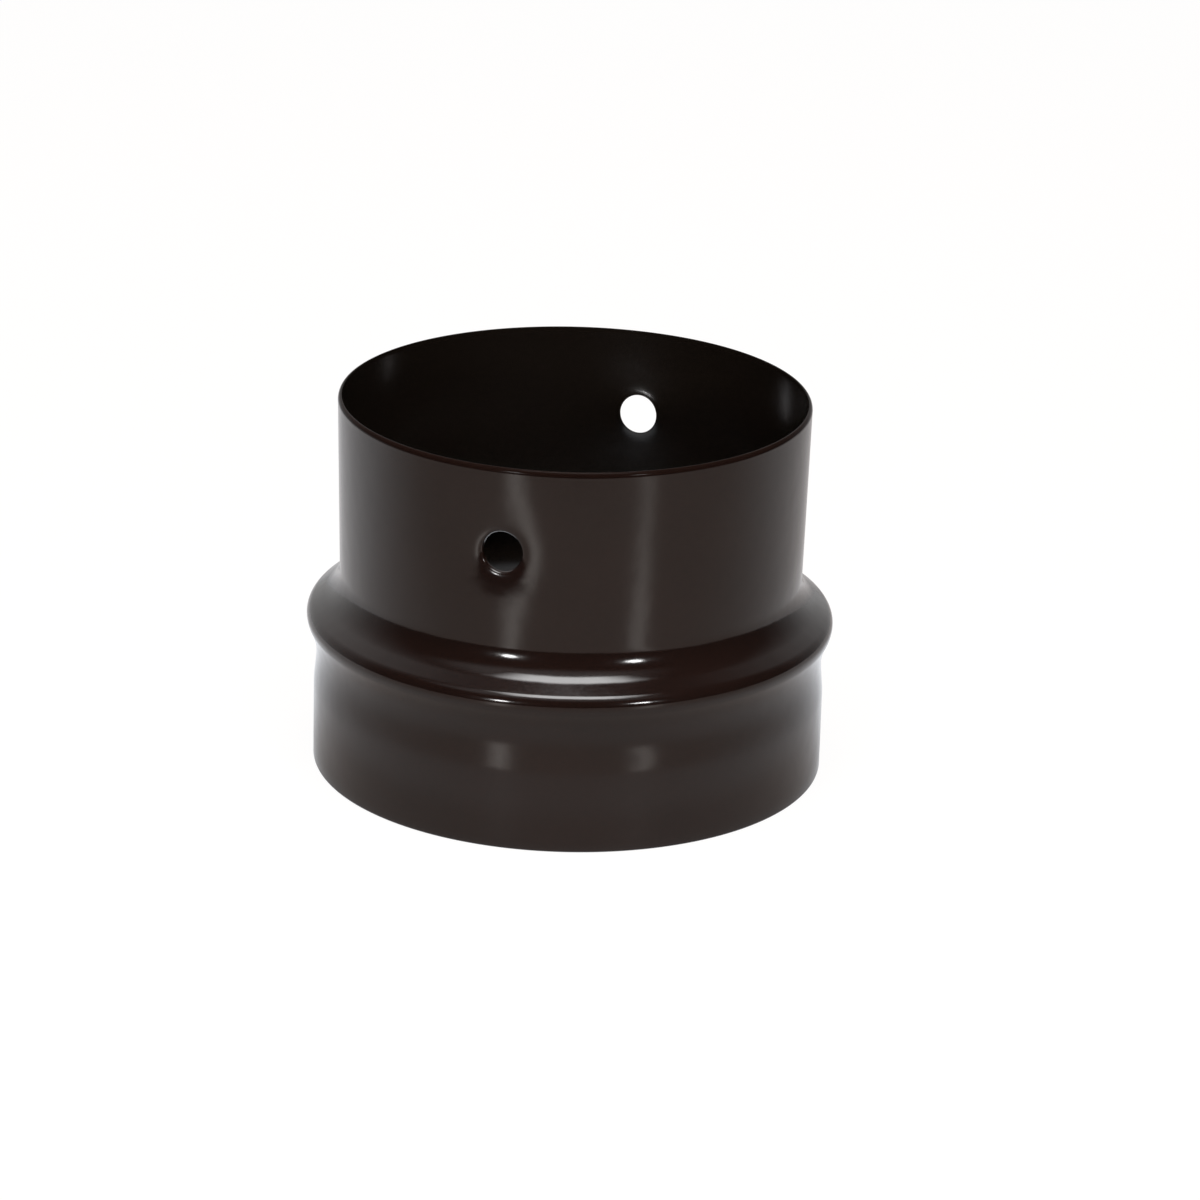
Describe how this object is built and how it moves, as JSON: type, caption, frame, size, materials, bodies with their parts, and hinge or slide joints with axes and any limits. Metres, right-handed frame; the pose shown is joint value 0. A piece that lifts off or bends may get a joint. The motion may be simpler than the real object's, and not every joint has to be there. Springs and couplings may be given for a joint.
{
  "type": "stove pipe reducer",
  "caption": "Enamelled steel stove pipe reducer: an open sleeve with a plain smaller end, a rolled bead as the stop for the pipes, and a plain larger end.",
  "frame": {"origin": "centre of the lower rim, on the sleeve's axis and in the plane that the sleeve stands on", "axes": "+Z along the sleeve's axis from the larger end to the smaller end; the screw holes lie on the Y axis, and the pictured front hole is on -Y"},
  "size_m": [0.135, 0.135, 0.0973],
  "materials": {
    "enamel": "gloss vitreous enamel, dark chocolate brown"
  },
  "bodies": {
    "root": {"reducer_sleeve": "enamel"}
  },
  "joints": []
}
